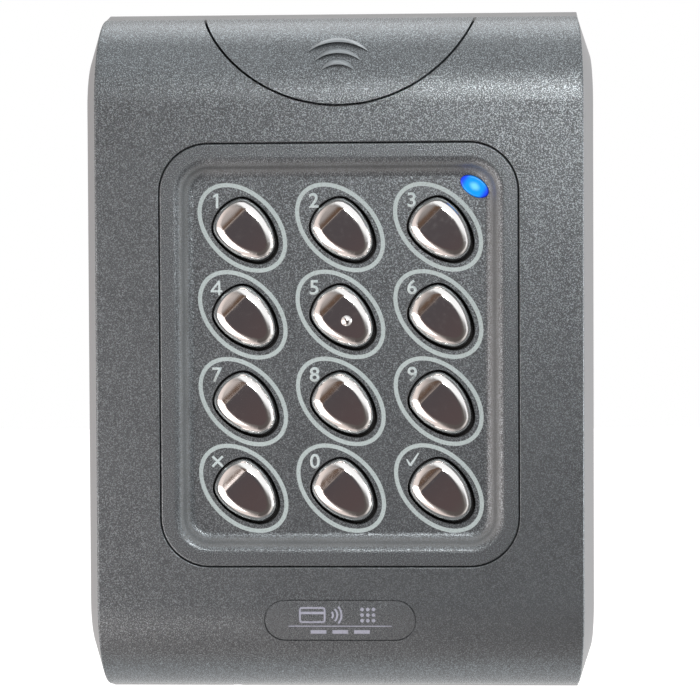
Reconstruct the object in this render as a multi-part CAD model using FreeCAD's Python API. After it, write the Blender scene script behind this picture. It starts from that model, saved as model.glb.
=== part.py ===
import FreeCAD, Part
import os
from math import asin, atan, cos, pi, sin, sqrt, tan, radians

V = FreeCAD.Vector

# A wall-mounted keypad access reader, in millimetres.
# +X is to the right seen from the front, +Z is up, and the front looks along -Y.
# The origin is the centre of the back face, which lies against the wall at Y = 0.
# "Depth" is measured from the flat front face towards the wall.

# Housing
WIDTH = 85.0
HEIGHT = 119.1
DEPTH = 24.0
FACE_WIDTH = 80.5          # front face between the two side bevels
BEVEL_DEPTH = 6.4          # how far back the side bevels reach
FLAT_HEIGHT = 83.0         # straight middle of the front face
NOSE_R = 16.0              # roll of the front face at its top and bottom
SPLIT = 13.0               # depth of the joint between cover and base
SEAM = 0.4                 # shadow gap between cover and base
WALL = 2.0                 # cover wall
SIDE_WALL = 2.2
EDGE_R = 0.35              # eased edge between face and bevel
BASE_FLOOR = 2.4
BASE_END_WIDTH = 82.4      # width of the base's top and bottom edges at the wall
BASE_CORNER = 5.85         # height of the base's corner bevels at the wall

# Keypad insert
BEZEL_Z = -0.2
BEZEL_W = 59.6
BEZEL_H = 70.3
BEZEL_R = 8.3
BEZEL_GAP = 0.2
BEZEL_EDGE_R = 0.3
RIM = 2.2                  # flat border round the dish
SLOPE = 3.2                # S-shaped slope from border to dish floor
DISH = 2.5                 # depth of the dish floor
BEZEL_PLATE = 1.6
BEZEL_FLANGE = 2.4

# Keys: an egg outline with its tip down to the right
KEY_PITCH_X = 16.27
KEY_PITCH_Z = 14.47
KEY_GRID_Z = -0.5
KEY_TURN = 45.0
EGG_CORNER = complex(-1.5, 1.6)
EGG_CORNER_R = 2.55
EGG_TIP = 3.9
EGG_TIP_R = 3.05
EGG_SIDE_R = 9.6
EGG_FLAT_R = 5.75
KEY_TOP = 0.75             # depth of the ridge, the highest line of a key
RIDGE = -1.05              # place of the ridge along the egg's axis
RIDGE_R = 3.0
FACE_SLOPE = 0.5           # slope of the large face at the ridge, in degrees,
FACE_CROWN = 45.0          # and the radius on which it then falls to the tip
FACET_SLOPE = 10.0         # the same two for the small facet beyond the ridge
FACET_CROWN = 12.0
KEY_ROUND = 1.9            # rounding round the key's top
KEY_WALL = 1.2
KEY_FLANGE = 0.9
FLANGE_T = 1.0
KEY_GAP = 0.38             # clearance round a key in its hole
KEY_SHIFT = 0.14           # the holes sit this far towards the tip
HOLE_EASE = 0.12           # eased front edge of the holes
TRAVEL = 1.0
BOSS_U = 1.0               # the rubber boss sits here along the egg's axis
BOSS_R = 2.5
KEY_NAMES = ["1", "2", "3", "4", "5", "6", "7", "8", "9", "cancel", "0", "enter"]

# Light, badge and screw cap
LENS_X = 22.55
LENS_Z = 27.65
LENS_A = 2.53
LENS_B = 1.48
LENS_TILT = 33.0
BADGE_Z = -44.2
BADGE_L = 25.2
BADGE_H = 7.0
BADGE_SINK = 0.45
CAP_CENTRE_Z = 65.6
CAP_R = 24.6
CAP_GAP = 0.2              # half of the gap round the cap
CAP_SHELF_GAP = 0.25
CAP_REACH = 12.85          # the cap ends just short of the joint
CAP_T = 1.6
WAVE_RISE = 0.5            # the most that the waves stand proud
WAVE_SLOPE = 28.0
PEG_X = 10.0
PEG_Z = 47.0
PEG_R = 1.3
PEG_END = 8.8
SOCKET_END = 9.4
SCREW_Z = 50.5
SCREW_SEAT = 10.2          # depth of the cover screw's seat

# Electronics
BOARD_FRONT = 9.6
BOARD_T = 1.6
BOARD_W = 74.8
BOARD_H = 92.0
BOARD_SCREW_X = 35.2
BOARD_SCREW_Z = 43.0
MAT_T = 1.2
MAT_W = 55.0
MAT_H = 65.6
WEB_R = 4.2
TERMINAL_PITCH = 3.5
TERMINAL_WAYS = 8
TERMINAL_Z = 18.0

# Wall side
WALL_SCREW_Z = 30.0
WALL_SCREW_R = 2.25
CABLE_Z = -10.0
CABLE_R = 3.5
GROMMET_R = 7.0


def y_at(depth):
    """Y of a plane at this depth behind the front face."""
    return depth - DEPTH


BOARD_BACK = BOARD_FRONT + BOARD_T
FLOOR_IN = DEPTH - BASE_FLOOR
FLANGE_TOP = DISH + BEZEL_PLATE + 0.15
FLANGE_BACK = FLANGE_TOP + FLANGE_T
MAT_FRONT = BOARD_FRONT - MAT_T
BOSS_BACK = BOARD_FRONT - TRAVEL


# ---------------------------------------------------------------- outlines

def arc(centre, r, a, b):
    """Arc in the XZ plane round a complex centre, between the unit directions a and b."""
    middle = (a + b) / abs(a + b)
    points = [centre + r * way for way in (a, middle, b)]
    return Part.Arc(*[V(p.real, 0, p.imag) for p in points]).toShape()


def polygon(points):
    """Closed straight-sided wire in the XZ plane."""
    corners = [V(x, 0, z) for x, z in points]
    return Part.makePolygon(corners + corners[:1])


def rounded_rect(width, height, r, x=0.0, z=0.0):
    """Rounded rectangle in the XZ plane, starting half-way up its right side."""
    across, up = width / 2 - r, height / 2 - r
    right = V(x + width / 2, 0, z)
    edges = []
    at = right
    way = 1 + 0j
    for sx, sz in ((1, 1), (-1, 1), (-1, -1), (1, -1)):
        centre = complex(x + sx * across, z + sz * up)
        turned = way * 1j
        start = centre + r * way
        end = centre + r * turned
        edges.append(Part.makeLine(at, V(start.real, 0, start.imag)))
        edges.append(arc(centre, r, way, turned))
        at = V(end.real, 0, end.imag)
        way = turned
    edges.append(Part.makeLine(at, right))
    return Part.Wire(edges)


def ellipse_wire(a, b, tilt, x, z):
    """Ellipse in the XZ plane whose long axis falls to the right by tilt degrees."""
    turn = radians(tilt)
    centre = V(x, 0, z)
    long_end = centre + V(a * cos(turn), 0, -a * sin(turn))
    short_end = centre + V(b * sin(turn), 0, b * cos(turn))
    return Part.Wire(Part.Ellipse(long_end, short_end, centre).toShape())


def corner_cut_rect(half_w, half_h, cut_x, cut_z):
    """Rectangle with its four corners cut off."""
    right = [(half_w, -half_h + cut_z), (half_w, half_h - cut_z)]
    top = [(half_w - cut_x, half_h), (-half_w + cut_x, half_h)]
    left = [(-x, -z) for x, z in right]
    bottom = [(-x, -z) for x, z in top]
    return polygon(right + top + left + bottom)


def meet(p, a, q, b):
    """Point at distance a from p and b from q, to the right of the way from p to q."""
    span = abs(q - p)
    along = (a * a - b * b + span * span) / (2 * span)
    return p + (q - p) / span * complex(along, -sqrt(a * a - along * along))


def egg_wire(grow=0.0):
    """Key outline: three rounded corners joined by bulging sides, all tangent."""
    corners = [(EGG_CORNER.conjugate(), EGG_CORNER_R), (EGG_CORNER, EGG_CORNER_R),
               (complex(EGG_TIP, 0), EGG_TIP_R)]
    bulges = [EGG_FLAT_R, EGG_SIDE_R, EGG_SIDE_R]
    sides = []
    for i, bulge in enumerate(bulges):
        (p, rp), (q, rq) = corners[i], corners[(i + 1) % 3]
        c = meet(p, bulge - rp, q, bulge - rq)
        sides.append((c, bulge, (p - c) / abs(p - c), (q - c) / abs(q - c)))
    edges = []
    for i, (c, bulge, start, end) in enumerate(sides):
        corner, r = corners[(i + 1) % 3]
        edges.append(arc(c, bulge + grow, start, end))
        edges.append(arc(corner, r + grow, end, sides[(i + 1) % 3][2]))
    return Part.Wire(edges)


# ------------------------------------------------------------------ solids

def prism(wire, near, far):
    """Solid of an outline in the XZ plane, between two depths."""
    face = Part.Face(wire)
    face.translate(V(0, y_at(near), 0))
    return face.extrude(V(0, far - near, 0))


def block(x0, x1, near, far, z0, z1):
    return Part.makeBox(x1 - x0, far - near, z1 - z0, V(x0, y_at(near), z0))


def rod(r, near, far, x=0.0, z=0.0):
    return Part.makeCylinder(r, far - near, V(x, y_at(near), z), V(0, 1, 0))


def fuse(shapes):
    whole = shapes[0].multiFuse(shapes[1:]) if len(shapes) > 1 else shapes[0]
    return whole.removeSplitter()


def nose_wire(inset, back, x):
    """Side profile of the front: straight middle, rolled ends, closed at a depth."""
    r = NOSE_R - inset
    centre_y = y_at(NOSE_R)
    half_flat = FLAT_HEIGHT / 2
    turn = pi / 2 - atan((NOSE_R - back) / sqrt(r * r - (NOSE_R - back) ** 2))

    def on_roll(side, angle):
        return V(x, centre_y - r * cos(angle), side * (half_flat + r * sin(angle)))

    def roll(side):
        return Part.Arc(on_roll(side, 0), on_roll(side, turn / 2), on_roll(side, turn))

    front = Part.makeLine(on_roll(-1, 0), on_roll(1, 0))
    rear = Part.makeLine(on_roll(1, turn), on_roll(-1, turn))
    return Part.Wire([front, roll(1).toShape(), rear, roll(-1).toShape()])


def nose_block(inset, half_w, back):
    """The rolled front as a plain solid of constant width."""
    face = Part.Face(nose_wire(inset, back, -half_w))
    return face.extrude(V(2 * half_w, 0, 0))


def skin(outer, inner, half_w, back=SPLIT):
    """Layer that follows the front face between two insets, down to a depth."""
    return nose_block(outer, half_w, back).cut(nose_block(inner, half_w, SPLIT + 5))


def split_half_height():
    """Half height of the housing where cover and base meet."""
    return FLAT_HEIGHT / 2 + sqrt(NOSE_R ** 2 - (NOSE_R - SPLIT) ** 2)


def bevel_start():
    """Half height at which the side bevel reaches the joint between cover and base."""
    return FLAT_HEIGHT / 2 + sqrt((NOSE_R - BEVEL_DEPTH) ** 2 - (NOSE_R - SPLIT) ** 2)


def outline_at_split(inset):
    """Outline of the housing at the joint, moved inwards."""
    half_h = split_half_height()
    cut_x = (WIDTH - FACE_WIDTH) / 2
    cut_z = half_h - bevel_start()
    return corner_cut_rect(WIDTH / 2 - inset, half_h - inset, cut_x, cut_z)


# ------------------------------------------------------------- front cover

def cover_outside():
    """Rolled front with a flat bevel down each side."""
    half_face, half_w = FACE_WIDTH / 2, WIDTH / 2
    parts = [nose_block(0, half_face, SPLIT)]
    for side in (-1, 1):
        wires = [nose_wire(0, SPLIT, side * half_face), nose_wire(BEVEL_DEPTH, SPLIT, side * half_w)]
        parts.append(Part.makeLoft(wires, True, True))
    body = fuse(parts)
    eased = [e for e in body.Edges if on_face_edge(e)]
    return body.makeFillet(EDGE_R, eased)


def on_face_edge(edge):
    """True on the long edges between the front face and the side bevels."""
    box = edge.BoundBox
    return box.XLength < 1e-6 and abs(abs(box.XMin) - FACE_WIDTH / 2) < 1e-6 \
        and box.YMax < y_at(SPLIT) + 1e-6 and box.ZLength > 1


def cover_inside():
    """Hollow of the cover: narrower behind the bevels, wider towards the joint."""
    front = nose_block(WALL, FACE_WIDTH / 2 - SIDE_WALL, SPLIT + 1)
    wide = prism(outline_at_split(SIDE_WALL), BEVEL_DEPTH + 0.8, SPLIT + 1)
    return front.fuse(wide.common(nose_block(WALL, WIDTH, SPLIT + 1)))


def cap_zone(r, near=-1.0):
    """Upright round column that outlines the screw cap."""
    return rod(r, near, SPLIT + 2, 0, CAP_CENTRE_Z)


def window_zone():
    """Opening of the cover that the keypad insert fills."""
    return prism(rounded_rect(BEZEL_W, BEZEL_H, BEZEL_R, 0, BEZEL_Z), -1, WALL + 1)


def on_window_edge(edge):
    """True on the front edge of the cover's opening."""
    box = edge.BoundBox
    return abs(box.YMin - y_at(0)) < 1e-6 and box.YLength < 1e-6 and box.XMax < BEZEL_W / 2 + 1 \
        and box.XMin > -BEZEL_W / 2 - 1 and box.ZMax < BEZEL_H / 2 + 1 and box.ZMin > -BEZEL_H / 2 - 1


def cover_posts():
    """Board posts, cap sockets and the cover screw's boss, all inside the cover."""
    posts = [rod(2.7, WALL - 0.5, BOARD_FRONT, sx * BOARD_SCREW_X, sz * BOARD_SCREW_Z)
             for sx in (-1, 1) for sz in (-1, 1)]
    posts += [rod(PEG_R + 1.4, 3.0, SOCKET_END, side * PEG_X, PEG_Z) for side in (-1, 1)]
    posts.append(rod(4.4, 4.0, SPLIT - 0.4, 0, SCREW_Z))
    return fuse(posts).common(nose_block(WALL - 0.5, WIDTH / 2, SPLIT))


def cover_hooks():
    """Two tongues at the lower edge that hook behind the base's wall."""
    half_h = split_half_height()
    hooks = []
    for x in (-22.0, 22.0):
        hooks.append(block(x - 3.5, x + 3.5, 10.5, 17.5, -half_h + 2.7, -half_h + 4.2))
        hooks.append(block(x - 3.5, x + 3.5, 10.5, SPLIT, -half_h + 1.0, -half_h + 3.0))
        hooks.append(block(x - 3.5, x + 3.5, 16.0, 17.5, -half_h + 1.7, -half_h + 3.0))
    return fuse(hooks)


def front_cover():
    shelf_inset = CAP_T + CAP_SHELF_GAP
    shelf = skin(-1.0, shelf_inset, FACE_WIDTH / 2).common(cap_zone(CAP_R + CAP_GAP))
    under_shelf = skin(shelf_inset, shelf_inset + WALL, FACE_WIDTH / 2)
    roof = under_shelf.common(cap_zone(CAP_R + CAP_GAP + WALL)).common(cover_inside())
    body = cover_outside().cut(cover_inside()).cut(window_zone())
    body = body.makeFillet(BEZEL_EDGE_R / 2, [e for e in body.Edges if on_window_edge(e)])
    body = fuse([body, roof, cover_posts().cut(shelf), cover_hooks()]).cut(shelf)
    cuts = [badge_layer(0.0, -1.0, BADGE_SINK)]
    cuts += [rod(1.15, 4.5, BOARD_FRONT + 1, sx * BOARD_SCREW_X, sz * BOARD_SCREW_Z)
             for sx in (-1, 1) for sz in (-1, 1)]
    cuts += [rod(PEG_R + 0.25, 0, 11, side * PEG_X, PEG_Z) for side in (-1, 1)]
    cuts += [rod(3.1, 0, SCREW_SEAT, 0, SCREW_Z), rod(1.7, 7, SPLIT + 1, 0, SCREW_Z)]
    return body.cut(cuts)


# ------------------------------------------------- screw cap, badge and lens

def crescent(half_w, foot_z, outer_z, inner_z):
    """Flat crescent between two arcs that share their ends."""
    left, right = V(-half_w, 0, foot_z), V(half_w, 0, foot_z)
    outer = Part.Arc(left, V(0, 0, outer_z), right).toShape()
    inner = Part.Arc(right, V(0, 0, inner_z), left).toShape()
    return Part.Wire([outer, inner])


def wave(half_w, foot_z, outer_z, inner_z):
    """Crescent ridge on the rolled face: flush at its outer arc and proud at its inner one."""
    middle = (outer_z + foot_z) / 2
    tilt = asin((middle - FLAT_HEIGHT / 2) / NOSE_R)
    out, up = V(0, -cos(tilt), sin(tilt)), V(0, sin(tilt), cos(tilt))
    rise = (outer_z - foot_z) / cos(tilt)
    r = (half_w ** 2 + rise ** 2) / (2 * rise)
    centre = V(0, y_at(NOSE_R * (1 - cos(tilt))), middle) + up * (rise / 2 - r) - out * 0.06
    grow = 1 / tan(radians(WAVE_SLOPE))
    slope = Part.makeCone(r + 3 * grow, r - grow, 4, centre - out * 3, out)
    ridge = prism(crescent(half_w, foot_z, outer_z, inner_z), -2, 10).common(slope)
    return ridge.common(skin(-WAVE_RISE, 0.4, FACE_WIDTH / 2))


def screw_cap():
    """Snap-in cap over the cover screw, with three raised waves and two pegs."""
    shell = skin(0.0, CAP_T, FACE_WIDTH / 2, CAP_REACH).common(cap_zone(CAP_R - CAP_GAP))
    waves = [wave(5.25, 49.9, 52.7, 51.8), wave(4.2, 48.1, 50.8, 49.8), wave(3.05, 46.5, 48.9, 47.8)]
    pegs = [rod(PEG_R, 1.0, PEG_END, side * PEG_X, PEG_Z) for side in (-1, 1)]
    pegs = [peg.common(nose_block(0.6, FACE_WIDTH / 2, SPLIT)) for peg in pegs]
    return fuse([shell] + waves + pegs)


def badge_layer(gap, outer, inner):
    """Oval layer of the front face, with a gap round its edge."""
    oval = rounded_rect(BADGE_L - 2 * gap, BADGE_H - 2 * gap, BADGE_H / 2 - gap - 0.01, 0, BADGE_Z)
    return prism(oval, -2, 6).common(skin(outer, inner, FACE_WIDTH / 2))


def name_badge():
    return badge_layer(0.15, 0.08, BADGE_SINK)


def lens_wire(grow):
    return ellipse_wire(LENS_A + grow, LENS_B + grow, LENS_TILT, LENS_X, LENS_Z)


def status_lens():
    """Oval light pipe with a domed front and a collar behind the insert."""
    pipe = prism(lens_wire(0), DISH - 0.3, BOARD_FRONT - 2.1)
    front = min(pipe.Faces, key=lambda f: f.CenterOfMass.y)
    pipe = pipe.makeFillet(0.28, front.Edges)
    return fuse([pipe, prism(lens_wire(0.9), DISH + BEZEL_PLATE, DISH + BEZEL_PLATE + 0.9)])


# ----------------------------------------------------------- keypad insert

def dish():
    """Void of the dish: a ring with an S-shaped outer wall, and its middle."""
    half_w = BEZEL_W / 2 - BEZEL_GAP
    top, floor = 0.05, DISH
    turn = 2 * atan((floor - top) / SLOPE)
    r = SLOPE / (2 * sin(turn))

    def at(inset, depth):
        return V(half_w - inset, y_at(depth), BEZEL_Z)

    mid = at(RIM + SLOPE / 2, (top + floor) / 2)
    crest = at(RIM + r * sin(turn / 2), top + r * (1 - cos(turn / 2)))
    trough = at(RIM + SLOPE - r * sin(turn / 2), floor - r * (1 - cos(turn / 2)))
    edges = [Part.Arc(at(RIM, top), crest, mid).toShape(),
             Part.Arc(mid, trough, at(RIM + SLOPE, floor)).toShape(),
             Part.makeLine(at(RIM + SLOPE, floor), at(RIM + SLOPE + 1.6, floor)),
             Part.makeLine(at(RIM + SLOPE + 1.6, floor), at(RIM + SLOPE + 1.6, -1)),
             Part.makeLine(at(RIM + SLOPE + 1.6, -1), at(RIM, -1)),
             Part.makeLine(at(RIM, -1), at(RIM, top))]
    ring = bezel_outline(-RIM).makePipeShell([Part.Wire(edges)], True, False)
    return ring.fuse(prism(bezel_outline(-RIM - SLOPE - 1.0), -1, floor))


def bezel_outline(grow):
    width = BEZEL_W - 2 * BEZEL_GAP + 2 * grow
    height = BEZEL_H - 2 * BEZEL_GAP + 2 * grow
    return rounded_rect(width, height, BEZEL_R - BEZEL_GAP + grow, 0, BEZEL_Z)


def key_places():
    """Name and ring centre of each key, row by row from the top left."""
    for i, name in enumerate(KEY_NAMES):
        row, column = divmod(i, 3)
        yield name, (column - 1) * KEY_PITCH_X, KEY_GRID_Z + (1.5 - row) * KEY_PITCH_Z


def place_key(shape, x, z):
    """Turn a shape drawn on the egg's own axes and put it at its key's place."""
    placed = shape.copy()
    placed.rotate(V(0, 0, 0), V(0, 1, 0), KEY_TURN)
    placed.translate(V(x, 0, z))
    return placed


def keypad_bezel():
    """Dished insert with twelve key holes, a lens hole and a skirt that clamps the mat."""
    plate_back = DISH + BEZEL_PLATE
    plate = prism(bezel_outline(0), 0.05, plate_back)
    plate = plate.makeFillet(BEZEL_EDGE_R, min(plate.Faces, key=lambda f: f.CenterOfMass.y).Edges)
    body = fuse([plate,
                 prism(bezel_outline(BEZEL_FLANGE), WALL + 0.05, plate_back),
                 prism(rounded_rect(MAT_W + 1, MAT_H + 1, 4, 0, BEZEL_Z), DISH, MAT_FRONT)])
    hole = prism(egg_wire(KEY_GAP), 0, plate_back + 1)
    hole.translate(V(KEY_SHIFT, 0, 0))
    cuts = [place_key(hole, x, z) for _, x, z in key_places()]
    cuts.append(prism(lens_wire(0.1), 0, plate_back + 1))
    inner = rounded_rect(MAT_W - 1.6, MAT_H - 1.6, 3, 0, BEZEL_Z)
    cuts.append(prism(inner, plate_back, MAT_FRONT + 1))
    body = body.cut(dish()).cut(cuts)
    return body.makeChamfer(HOLE_EASE, [e for e in body.Edges if on_key_hole(e)])


def on_key_hole(edge):
    """True for the front edges of the key holes, in the floor of the dish."""
    box = edge.BoundBox
    at_floor = abs(box.YMin - y_at(DISH)) < 0.01 and abs(box.YMax - y_at(DISH)) < 0.01
    near = min(sqrt((box.Center.x - x) ** 2 + (box.Center.z - z) ** 2) for _, x, z in key_places())
    return at_floor and near < 7.5 and box.DiagonalLength < 12


# -------------------------------------------------------------------- keys

def along(start, r, a, b):
    """Point reached from a start along an arc whose slope goes from a to b degrees."""
    a, b = radians(a), radians(b)
    return start + V(r * (sin(b) - sin(a)), r * (cos(a) - cos(b)), 0)


def crowned_egg():
    """Egg column under a large crowned face and a small one, which meet in a soft ridge."""
    crest = V(RIDGE, y_at(KEY_TOP), -20)
    right = along(crest, RIDGE_R, 0, FACE_SLOPE)
    tip = along(right, FACE_CROWN, FACE_SLOPE, FACE_SLOPE + 15)
    over_face = along(right, FACE_CROWN, FACE_SLOPE, FACE_SLOPE + 7)
    left = along(crest, RIDGE_R, 0, -FACET_SLOPE)
    heel = along(left, FACET_CROWN, -FACET_SLOPE, -FACET_SLOPE - 40)
    over_facet = along(left, FACET_CROWN, -FACET_SLOPE, -FACET_SLOPE - 20)
    corners = [tip, V(tip.x, y_at(-9), -20), V(heel.x, y_at(-9), -20), heel]
    edges = [Part.Arc(heel, over_facet, left).toShape(), Part.Arc(left, crest, right).toShape(),
             Part.Arc(right, over_face, tip).toShape()]
    edges += [Part.makeLine(a, b) for a, b in zip(corners, corners[1:])]
    above = Part.Face(Part.Wire(edges)).extrude(V(0, 0, 40))
    column = prism(egg_wire(), -4, FLANGE_TOP).cut(above)
    tops = sorted(column.Faces, key=lambda f: f.CenterOfMass.y)[:3]
    every = [e for top in tops for e in top.Edges]
    rim = [e for e in every if sum(e.isSame(other) for other in every) == 1]
    return column.makeFillet(KEY_ROUND, rim)


def key_cap():
    """Bright key drawn on the egg's own axes: ridged top, flange and hollow back."""
    flange = prism(egg_wire(KEY_FLANGE), FLANGE_TOP, FLANGE_BACK)
    pocket = prism(egg_wire(-KEY_WALL), KEY_TOP + 2.2, FLANGE_BACK + 1)
    pocket = pocket.cut(rod(BOSS_R, KEY_TOP + 1, FLANGE_BACK + 2, BOSS_U, 0))
    return fuse([crowned_egg(), flange]).cut(pocket)


def finger_pip():
    """Small raised dot that marks the middle key."""
    return Part.makeSphere(1.05, V(1.75, y_at(KEY_TOP + 0.1 + 0.6), 0))


def key_boss():
    """Rubber post under a key, with the conducting pad at its end."""
    post = rod(BOSS_R, FLANGE_BACK, BOSS_BACK - 0.2, BOSS_U, 0)
    return fuse([post, rod(BOSS_R - 0.7, BOSS_BACK - 0.3, BOSS_BACK, BOSS_U, 0)])


def mat_web():
    """Thin cone that joins a boss to the mat and springs it back."""
    rise = 1.5
    outer = Part.makeCone(BOSS_R + 0.45, WEB_R + 0.45, rise, V(BOSS_U, y_at(MAT_FRONT - rise), 0),
                          V(0, 1, 0))
    inner = Part.makeCone(BOSS_R, WEB_R, rise, V(BOSS_U, y_at(MAT_FRONT - rise), 0), V(0, 1, 0))
    return outer.cut(inner)


def keypad_mat():
    """Rubber sheet between insert and board, open under each boss and the light."""
    sheet = prism(rounded_rect(MAT_W, MAT_H, 4, 0, BEZEL_Z), MAT_FRONT, BOARD_FRONT)
    cuts = [place_key(rod(WEB_R, MAT_FRONT - 1, BOARD_FRONT + 1, BOSS_U, 0), x, z)
            for _, x, z in key_places()]
    return sheet.cut(cuts + [rod(3.2, MAT_FRONT - 1, BOARD_FRONT + 1, LENS_X, LENS_Z)])


# ------------------------------------------------------------- electronics

def circuit_board():
    board = prism(rounded_rect(BOARD_W, BOARD_H, 2.0), BOARD_FRONT, BOARD_BACK)
    return board.cut([rod(1.4, BOARD_FRONT - 1, BOARD_BACK + 1, sx * BOARD_SCREW_X, sz * BOARD_SCREW_Z)
                      for sx in (-1, 1) for sz in (-1, 1)])


def antenna_coil():
    """Flat wound coil bonded round the back of the board."""
    outer = prism(rounded_rect(64.0, 84.0, 6.0), BOARD_BACK, BOARD_BACK + 1.4)
    return outer.cut(prism(rounded_rect(58.0, 78.0, 3.0), BOARD_BACK - 1, BOARD_BACK + 3))


def status_led():
    base = block(LENS_X - 1.75, LENS_X + 1.75, BOARD_FRONT - 1.1, BOARD_FRONT, LENS_Z - 1.4, LENS_Z + 1.4)
    return fuse([base, rod(1.2, BOARD_FRONT - 1.8, BOARD_FRONT - 1.0, LENS_X, LENS_Z)])


def buzzer():
    """Round sounder with a sound hole in its cap."""
    can = rod(6.0, BOARD_BACK, BOARD_BACK + 5.5, -18, -22)
    can = can.makeFillet(0.6, [max(can.Edges, key=lambda e: e.CenterOfMass.y)])
    return can.cut(rod(1.0, BOARD_BACK + 3.5, BOARD_BACK + 7, -18, -22))


def terminal_xs():
    return [(i - (TERMINAL_WAYS - 1) / 2) * TERMINAL_PITCH for i in range(TERMINAL_WAYS)]


def terminal_block():
    """Row of wire clamps: wires enter from below, screws face the wall."""
    half = TERMINAL_WAYS * TERMINAL_PITCH / 2
    low, high = TERMINAL_Z - 3.6, TERMINAL_Z + 3.6
    body = block(-half, half, BOARD_BACK, BOARD_BACK + 8.4, low, high)
    cuts = []
    for x in terminal_xs():
        cuts.append(rod(1.35, BOARD_BACK + 4.4, BOARD_BACK + 9, x, TERMINAL_Z + 0.6))
        mouth = block(x - 1.2, x + 1.2, BOARD_BACK + 1.4, BOARD_BACK + 4.0, low - 1, TERMINAL_Z - 0.5)
        cuts.append(mouth)
    return body.cut(cuts)


def slotted_screw(r, head_t, head_back, length, shank_r, x, z, front=False):
    """Slotted screw along Y; its head faces the wall, or the front when asked."""
    near = head_back if front else head_back - head_t
    head = rod(r, near, near + head_t, x, z)
    if front:
        shank = rod(shank_r, near + head_t, near + head_t + length, x, z)
        slot = block(x - r, x + r, near - 1, near + 0.8, z - 0.4, z + 0.4)
    else:
        shank = rod(shank_r, near - length, near, x, z)
        slot = block(x - r, x + r, head_back - 0.8, head_back + 1, z - 0.4, z + 0.4)
    return fuse([head, shank]).cut(slot)


def terminal_screws():
    return [slotted_screw(1.2, 1.6, BOARD_BACK + 7.6, 1.0, 0.8, x, TERMINAL_Z + 0.6)
            for x in terminal_xs()]


def board_screws():
    return [slotted_screw(2.1, 1.5, BOARD_BACK + 1.5, 5.5, 1.05, sx * BOARD_SCREW_X, sz * BOARD_SCREW_Z)
            for sx in (-1, 1) for sz in (-1, 1)]


def chip(width, height, thick, x, z):
    """Flat chip body with a row of legs down each long side."""
    near, far = BOARD_BACK + 0.1, BOARD_BACK + 0.1 + thick
    body = block(x - width / 2, x + width / 2, near, far, z - height / 2, z + height / 2)
    count = int(height // 1.27)
    legs = []
    for i in range(count):
        leg_z = z + (i - (count - 1) / 2) * 1.27
        legs.append(block(x - width / 2 - 0.9, x + width / 2 + 0.9, BOARD_BACK, BOARD_BACK + 0.5,
                          leg_z - 0.2, leg_z + 0.2))
    return fuse([body] + legs)


def capacitor():
    """Upright can capacitor on a square foot."""
    foot = block(14.0, 20.6, BOARD_BACK, BOARD_BACK + 1.0, -25.3, -18.7)
    can = rod(3.1, BOARD_BACK + 0.5, BOARD_BACK + 6.5, 17.3, -22)
    return fuse([foot, can])


def tamper_sensor():
    """Small optical sensor that watches the base's floor."""
    body = block(-27.5, -23.0, BOARD_BACK, BOARD_BACK + 3.0, 25.5, 29.5)
    return body.cut([rod(0.8, BOARD_BACK + 2.2, BOARD_BACK + 4, x, 27.5) for x in (-26.4, -24.1)])


# ---------------------------------------------------------------- the base

def base_outside():
    """Tray that widens slightly towards the wall at its top and bottom."""
    near = outline_at_split(0.0)
    near.translate(V(0, y_at(SPLIT + SEAM), 0))
    far = corner_cut_rect(WIDTH / 2, HEIGHT / 2, (WIDTH - BASE_END_WIDTH) / 2, BASE_CORNER)
    return Part.makeLoft([near, far], True, True)


def back_pockets():
    """Shallow moulded pockets in the wall side, either side of a middle spine."""
    pockets = []
    for side in (-1, 1):
        for low, high in ((-53, -31), (-28, -4), (4, 28), (31, 53)):
            pockets.append(prism(rounded_rect(29, high - low, 2.5, side * 23.5, (low + high) / 2),
                                 DEPTH - 1.0, DEPTH + 1))
    return pockets


def rear_base():
    lip_in, lip_out = SIDE_WALL + 1.4, SIDE_WALL + 0.2
    lip_top = SPLIT - 1.2
    body = base_outside()
    body = body.cut(prism(outline_at_split(lip_in), SPLIT, SPLIT + 2.4))
    body = body.cut(prism(outline_at_split(SIDE_WALL), SPLIT + 2.4, FLOOR_IN))
    lip = prism(outline_at_split(lip_out), lip_top, SPLIT + 1)
    lip = lip.cut(prism(outline_at_split(lip_in), lip_top - 1, SPLIT + 2))
    lip = lip.common(nose_block(WALL + 0.2, WIDTH / 2, SPLIT + 1))
    boss = rod(4.2, SPLIT + 0.2, FLOOR_IN + 0.5, 0, SCREW_Z)
    pads = [rod(6.0, FLOOR_IN - 1.2, FLOOR_IN + 0.5, 0, side * WALL_SCREW_Z) for side in (-1, 1)]
    half_h = split_half_height()
    cuts = [rod(2.35, SPLIT - 1, SPLIT + 6.6, 0, SCREW_Z), rod(1.7, SPLIT, FLOOR_IN - 0.4, 0, SCREW_Z),
            rod(GROMMET_R + 0.05, FLOOR_IN - 1, DEPTH + 1, 0, CABLE_Z),
            block(-20.0, -18.5, DEPTH - 2.0, DEPTH + 1, -HEIGHT / 2 - 1, -HEIGHT / 2 + 0.6)]
    cuts.append(block(-25.2, 25.2, lip_top - 1, SPLIT, SCREW_Z, half_h))
    cuts += [rod(WALL_SCREW_R, FLOOR_IN - 3, DEPTH + 1, 0, side * WALL_SCREW_Z) for side in (-1, 1)]
    cuts += [block(x - 4.0, x + 4.0, lip_top - 1, 18.2, -half_h + 1.35, -half_h + 6) for x in (-22, 22)]
    return fuse([body, lip, boss] + pads).cut(cuts + back_pockets())


def cover_seal():
    """Flat rubber ring in the joint between cover and base."""
    ring = prism(outline_at_split(0.7), SPLIT, SPLIT + SEAM)
    return ring.cut(prism(outline_at_split(1.9), SPLIT - 1, SPLIT + 1))


def cover_screw():
    return slotted_screw(2.8, 2.0, SCREW_SEAT - 2.0, 9.0, 1.45, 0, SCREW_Z, front=True)


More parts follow.
